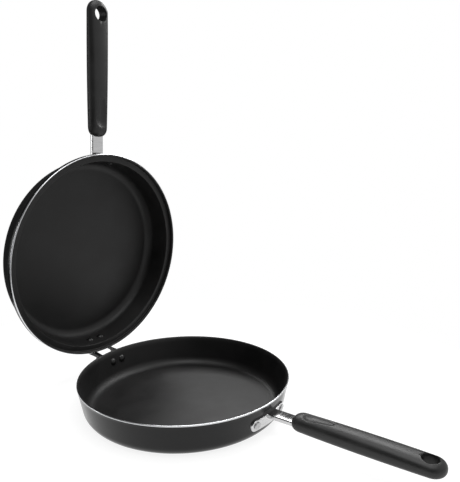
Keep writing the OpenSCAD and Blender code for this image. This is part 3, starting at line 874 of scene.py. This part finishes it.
def knurled_sleeve(low, high):
    """A sleeve on Z whose outside is cut by two crossed sets of grooves, a diamond knurl."""
    t = np.linspace(0, 2 * np.pi, 120, endpoint=False)
    z = np.linspace(low, high, 21)[:, None]
    ramp = np.clip(np.minimum(z - low, high - z) / KNURL_RAMP, 0, 1)
    round_by, up_by = KNURL_TEETH * t, KNURL_TWIST * z
    wave = np.abs(np.sin(round_by + up_by)) * np.abs(np.sin(round_by - up_by))
    r = INSERT_R - KNURL_DEEP + KNURL_DEEP * wave * ramp
    outside = np.stack([r * np.cos(t), r * np.sin(t), z + 0 * t], axis=2)
    bore_r = SCREW_R + INSERT_PLAY
    inner = spin(np.array([(bore_r, high), (bore_r, low)]), len(t))
    points = np.concatenate([outside, inner])
    return shell(points, quads(len(points), len(t), wrap_rows=True))


# Zinc plate: a bluish white metal with cloudy passivation.
zinc, tree, shader = shader_of("zinc_plated_steel")
passivation = noise_of(tree, 2.0)
set_shader(
    shader, Metallic=1.0,
    Base_Color=two_tone(tree, passivation, "#b4b7ba", "#d0d2d3"),
    Roughness=ranged(tree, passivation, 0.26, 0.40),
)

# Brass: yellow metal, browned a little in the knurl's grooves by the moulding's heat.
brass, tree, shader = shader_of("moulded_in_brass")
heat = noise_of(tree, 1.2)
set_shader(
    shader, Metallic=1.0,
    Base_Color=two_tone(tree, heat, "#b08a3e", "#d9b766"),
    Roughness=ranged(tree, heat, 0.28, 0.42),
)


def grip_fixings(side, rim_z):
    """The screw and the insert of one grip."""
    top = rim_z - GRIP_BELOW + STRAP / 2
    seat = rim_z - GRIP_BELOW - SEAT_BELOW
    tip = top + TANG_PLAY + INSERT_LONG - TIP_SHORT
    name = side + "_grip_cross_screw"
    mesh = mesh_of(name, on_screw(screw_head(seat), side))
    screw = fit_piece(name, mesh, side, "zinc_screw", (zinc,), side + "_grip_screw")
    combine(screw, "UNION", on_screw(threaded_rod(seat - ROD_IN_HEAD, tip), side))
    a, b, low = CROSS_HALF, CROSS_SLOT_HALF, CROSS_FROM
    bed = seat - SCREW_HEAD_TALL + CROSS_DEEP
    slots = [block((-a, -b, low), (a, b, bed)), block((-b, -a, low), (b, a, bed))]
    combine(screw, "DIFFERENCE", *(on_screw(slot, side) for slot in slots))
    foot = top + TANG_PLAY
    sleeve = knurled_sleeve(foot, foot + INSERT_LONG)
    name = side + "_grip_knurled_insert"
    mesh = mesh_of(name, on_screw(sleeve, side))
    fit_piece(name, mesh, side, "brass_insert", (brass,), side + "_grip_insert")


grip_fixings("lower", LOWER_TALL)

# -------------------- lower hinge bracket
# Bent from 2 mm steel sheet: a web riveted to the wall, and two ears that carry the pin and end
# in rests on which the opened upper lip leans.
HINGE_SHEET = 2.0
PIN_X, PIN_Z, PIN_R = -132.5, 26.0, 2.5
EAR_R = 5.4
LOWER_EAR_Y, UPPER_EAR_Y = (10.6, 12.6), (12.8, 14.8)
WEB_TALL, WEB_CORNER = 13.0, 3.0
ROOT_HALF = WEB_TALL / 2 - WEB_CORNER / 3
LOWER_WEB_Z, EAR_ROOT, HINGE_EDGE = 24.2, 0.4, 0.3
LIP_R, REST_GAP, REST_FROM, REST_TO = 126.0, 0.3, 33.3, 38.3
LOWER_RIVET_Y, HINGE_HEAD_R = 7.1, 3.1
SWING = math.radians(86)


def swung_open(points):
    """Points of the closed upper pan after it turned open about the pin by 86 degrees."""
    c, s = math.cos(SWING), math.sin(SWING)
    x, z = points[..., 0] - PIN_X, points[..., 2] - PIN_Z
    return np.stack([PIN_X + c * x - s * z, points[..., 1], PIN_Z + s * x + c * z], axis=-1)


def ear(outline, radii, y_span):
    """A flat ear in the XZ plane, its corners rounded and its sheared edges broken."""
    rim = filleted(outline, radii, 7)
    ahead = np.roll(rim, -1, axis=0) - np.roll(rim, 1, axis=0)
    normal = np.stack([-ahead[:, 1], ahead[:, 0]], axis=1)
    turns = np.cross(rim, np.roll(rim, -1, axis=0)).sum()
    normal = normal / np.linalg.norm(normal, axis=1, keepdims=True) * np.sign(turns)
    low, high = y_span
    levels = [
        (low, HINGE_EDGE), (low + HINGE_EDGE, 0), (high - HINGE_EDGE, 0), (high, HINGE_EDGE),
    ]
    rows = [np.insert(rim + normal * inward, 1, y, axis=1) for y, inward in levels]
    count = len(rim)
    ends = [list(range(count)), list(range(3 * count, 4 * count))[::-1]]
    return shell(np.stack(rows), quads(4, count).tolist() + ends)


def pin_round(start, end, steps):
    """Part of the ear's round end about the pin."""
    return arc(PIN_X, PIN_Z, EAR_R, start, end, steps)


def facing_back(points):
    """A web drawn on the +X side, turned half round to the hinge side."""
    return points * [-1, -1, 1]


def hinge_web(wall, mid_z, half):
    """The web that lies on a wall on the hinge side."""
    web = wall_plate(wall, mid_z, half, WEB_TALL, WEB_CORNER, HINGE_SHEET, HINGE_EDGE)
    return moved(web, facing_back)


def pin_drill(radius):
    """A cutter for the pin's hole through all ears."""
    rod, zones = chain((0, np.array([(0, -20), (radius, -20), (radius, 20), (0, 20)])))
    return moved(turned(rod, zones, 64), on_pin)


def on_pin(points):
    """A shell drawn on Z, laid along Y on the pin's axis."""
    return np.stack([PIN_X + points[:, 0], points[:, 2], PIN_Z - points[:, 1]], axis=1)


def ear_roots(wall, web_z):
    """The two points, as (x, z), where an ear leaves its web, just outside the wall."""
    z = np.array([web_z - ROOT_HALF, web_z + ROOT_HALF])
    return np.stack([-(wall_radius(wall, z) + EAR_ROOT), z], axis=1)


lip_x = -(math.sqrt(LIP_R ** 2 - LOWER_EAR_Y[0] ** 2) + REST_GAP)
rest = np.array([[lip_x, 0, REST_FROM], [lip_x, 0, REST_TO]])
rest_near, rest_far = swung_open(rest)[:, ::2]
lower_ear = np.concatenate([
    ear_roots(lower_wall, LOWER_WEB_Z),
    [rest_near, rest_far, rest_far - [0, HINGE_SHEET]],
    pin_round(180, 270, 9),
])
# Corner radii: none at the roots, three at the rest, none on the round about the pin.
ear_radii = [0, 0, 0.8, 0.3, 0.6] + [0] * 9

# Black-coated hinge steel (lacquer, index 1.5): the thin coat shows the sheet's rolling streaks as
# a faint change of gloss.
hinge_black, tree, shader = shader_of("black_coated_steel_sheet")
rolling = noise_of(tree, 1.4, 2.0, (0.4, 1.0, 0.4))
set_shader(
    shader, IOR=1.5, Specular_IOR_Level=0.4,
    Base_Color=two_tone(tree, rolling, "#131313", "#1b1b1c"),
    Roughness=ranged(tree, rolling, 0.30, 0.44),
    Normal=bump_of(tree, rolling, 0.02, 0.4),
)


def hinge_bracket(side, web, ears, hole_r):
    """Web and ears joined in one skin, with the pin's hole drilled through."""
    name, node = side + "_hinge_stamping", side + "_hinge_bracket"
    piece = fit_piece(name, mesh_of(name, web), side, "hinge_steel", (hinge_black,), node)
    combine(piece, "UNION", *ears)
    combine(piece, "DIFFERENCE", pin_drill(hole_r))


def hinge_rivets(side, wall, y, z):
    """The rivets of a hinge bracket's web."""
    name, node = side + "_hinge_rivet_pair", side + "_hinge_rivets"
    rivets_piece(side, name, node, rivet_shell(HINGE_SHEET, HINGE_HEAD_R), wall, y, z, at_back=True)


def both_ears(outline, radii, near, far):
    """An ear on each side of the middle plane, from near to far off it."""
    return [ear(outline, radii, span) for span in ((near, far), (-far, -near))]


ears = both_ears(lower_ear, ear_radii, *LOWER_EAR_Y)
hinge_bracket("lower", hinge_web(lower_wall, LOWER_WEB_Z, LOWER_EAR_Y[1]), ears, PIN_R)
hinge_rivets("lower", lower_wall, LOWER_RIVET_Y, LOWER_WEB_Z)

# -------------------- hinge pin and washers
# A steel rivet pin through all four ears; each end is peened over a washer.
PIN_HALF, WASHER_IN, WASHER_R = 15.8, 15.0, 4.6
PEEN_FOOT_R, PEEN_SIDE_R, PEEN_ROUND = 4.0, 3.7, 0.5
PEEN_CROWN = [(3.3, 1.75), (2.4, 1.98), (0, 2.0)]
half_pin = np.concatenate([
    [(PIN_R, 0), (PIN_R, PIN_HALF), (PEEN_FOOT_R, PIN_HALF)],
    arc(PEEN_SIDE_R, PIN_HALF + PEEN_ROUND, PEEN_ROUND, -20, 40, 5),
    np.add(PEEN_CROWN, [0, PIN_HALF]),
])
pin_profile = np.concatenate([(half_pin * [1, -1])[::-1], half_pin[1:]])
pin_shell = turned(*chain((0, pin_profile)), 56)

# Bare drawn steel: a dull grey metal, worn a little brighter in patches where the ears rub.
pin_steel, tree, shader = shader_of("bare_drawn_steel")
worn = noise_of(tree, 1.8)
set_shader(
    shader, Metallic=1.0,
    Base_Color=two_tone(tree, worn, "#808183", "#a2a3a4"),
    Roughness=ranged(tree, worn, 0.30, 0.46),
)

mesh = mesh_of("hinge_rivet_pin", moved(pin_shell, on_pin))
fit_piece("hinge_rivet_pin", mesh, "lower", "pin_steel", (pin_steel,), "hinge_pin")


def washer(low, high):
    """A pressed washer on Z with rounded outer edges."""
    soft = 0.2
    profile = np.array([
        (PIN_R, low), (WASHER_R - soft, low), (WASHER_R, low + soft), (WASHER_R, high - soft),
        (WASHER_R - soft, high), (PIN_R, high),
    ])
    return shell(spin(profile, 56), quads(len(profile), 56, wrap_rows=True))


washers = together(washer(WASHER_IN, PIN_HALF), washer(-PIN_HALF, -WASHER_IN))
mesh = mesh_of("hinge_washer_pair", moved(washers, on_pin))
fit_piece("hinge_washer_pair", mesh, "lower", "pin_steel", (pin_steel,), "hinge_washers")

# -------------------- upper pan
# Pressed and finished as the lower pan, but its wall ends in a ledge that meets the lower rim and
# a lip that drops round it when the pan is closed.
UPPER_TALL, UPPER_FLAT = 39.5, 102.5
UPPER_WALL_R, UPPER_FLARE, CLOSED_TOP = 119.3, 2.0, 72.8
LEDGE_TOP, LEDGE_UNDER, LEDGE_OVER = 34.5, 0.9, 0.8
LIP_BEND, LIP_INSIDE = 3.2, 0.5


def opened(points):
    """Upper pan: drawn on its own base, turned over on the lower pan, then swung open."""
    return swung_open(points * [1, -1, -1] + [0, 0, CLOSED_TOP])


placing_of["upper"] = opened
upper_wall = wall_line(UPPER_FLAT, UPPER_WALL_R, LEDGE_TOP)
lean_deg = math.degrees(upper_wall[2])
ledge_low, lip_top = LEDGE_TOP - SHEET, UPPER_TALL - BARE_ROUND - BARE_STEP
inner_r = UPPER_WALL_R - SHEET * math.cos(upper_wall[2])
under_r, under_z = wall_radius(upper_wall, ledge_low - LEDGE_UNDER), ledge_low - LEDGE_UNDER
bend_r, bend_z = LIP_R - LIP_BEND, ledge_low + LIP_BEND
upper_profile, upper_zones = chain(
    (BARE, base_outside(UPPER_FLAT)),
    (LACQUER, line((UPPER_FLAT - FOOT_COATED, 0), (UPPER_FLAT, 0), 4)),
    (LACQUER, arc(UPPER_FLAT, CORNER, CORNER, -90, -lean_deg, 18)),
    (LACQUER, line((wall_radius(upper_wall, CORNER), CORNER), (under_r, under_z), 8)),
    (LACQUER, arc(under_r + LEDGE_UNDER, under_z, LEDGE_UNDER, 180 - lean_deg, 90, 5)),
    (LACQUER, line((bend_r - 1, ledge_low), (bend_r, ledge_low), 3)),
    (LACQUER, arc(bend_r, bend_z, LIP_BEND, -90, 0, 10)),
    (LACQUER, line((LIP_R, bend_z), (LIP_R, lip_top), 4)),
    *rounded_edge(LIP_R, UPPER_TALL, 0, UPPER_FLARE),
    (NONSTICK, arc(LIP_R - SHEET - LIP_INSIDE, LEDGE_TOP + LIP_INSIDE, LIP_INSIDE, 0, -90, 5)),
    (NONSTICK, arc(inner_r + LEDGE_OVER, LEDGE_TOP - LEDGE_OVER, LEDGE_OVER, 90, 180 - lean_deg, 6)),
    (NONSTICK, arc(UPPER_FLAT, CORNER, CORNER - SHEET, -lean_deg, -90, 16)),
    (NONSTICK, line((UPPER_FLAT, SHEET), (0, SHEET), 14)),
)
upper_mesh = mesh_of("upper_pan_body", turned(upper_profile, upper_zones))
turning_lines(upper_mesh)
upper_mesh.vertices.foreach_set("co", (opened(vertex_places(upper_mesh)) / 1000).ravel())
upper_mesh.update()
fit_piece("upper_pan_body", upper_mesh, "upper", "nonstick_pan", (lacquer, bare, nonstick), "upper_pan")

# -------------------- upper handle
# The same bracket, rivets, grip, screw and insert as below, on the upper pan's own wall.
bracket_piece("upper", upper_wall, UPPER_TALL)
handle_rivets("upper", upper_wall, UPPER_TALL)
grip_piece("upper", UPPER_TALL)
grip_fixings("upper", UPPER_TALL)

# -------------------- upper hinge bracket
# Web and two long ears that reach round the lip to the pin, outside the lower bracket's ears.
UPPER_WEB_Z, UPPER_RIVET_Y, PIN_PLAY = 20.7, 8.2, 0.05
LIP_CLEAR, ARM_WIDE, ARM_DROP = 1.5, 3.8, 9.0
knee_x = -(LIP_R + LIP_CLEAR)
arm_x = knee_x - ARM_WIDE
meets = math.degrees(math.acos((arm_x - PIN_X) / EAR_R))
roots = ear_roots(upper_wall, UPPER_WEB_Z) * [1, -1] + [0, CLOSED_TOP]
closed_ear = np.concatenate([
    [(knee_x, CLOSED_TOP - ledge_low + LIP_CLEAR), (PIN_X + EAR_R, PIN_Z)],
    pin_round(0, meets - 360, 28)[1:],
    [(arm_x, roots[0, 1] - ARM_DROP)],
    roots,
])
# Corner radii: the knee, none on the round, where it meets the arm, the arm's bend, the roots.
closed_radii = [1.5, 0] + [0] * 26 + [0.6, 1.5, 0, 0]
ears = [moved(part, swung_open) for part in both_ears(closed_ear, closed_radii, *UPPER_EAR_Y)]
web = moved(hinge_web(upper_wall, UPPER_WEB_Z, UPPER_EAR_Y[1]), opened)
hinge_bracket("upper", web, ears, PIN_R + PIN_PLAY)
hinge_rivets("upper", upper_wall, UPPER_RIVET_Y, UPPER_WEB_Z)
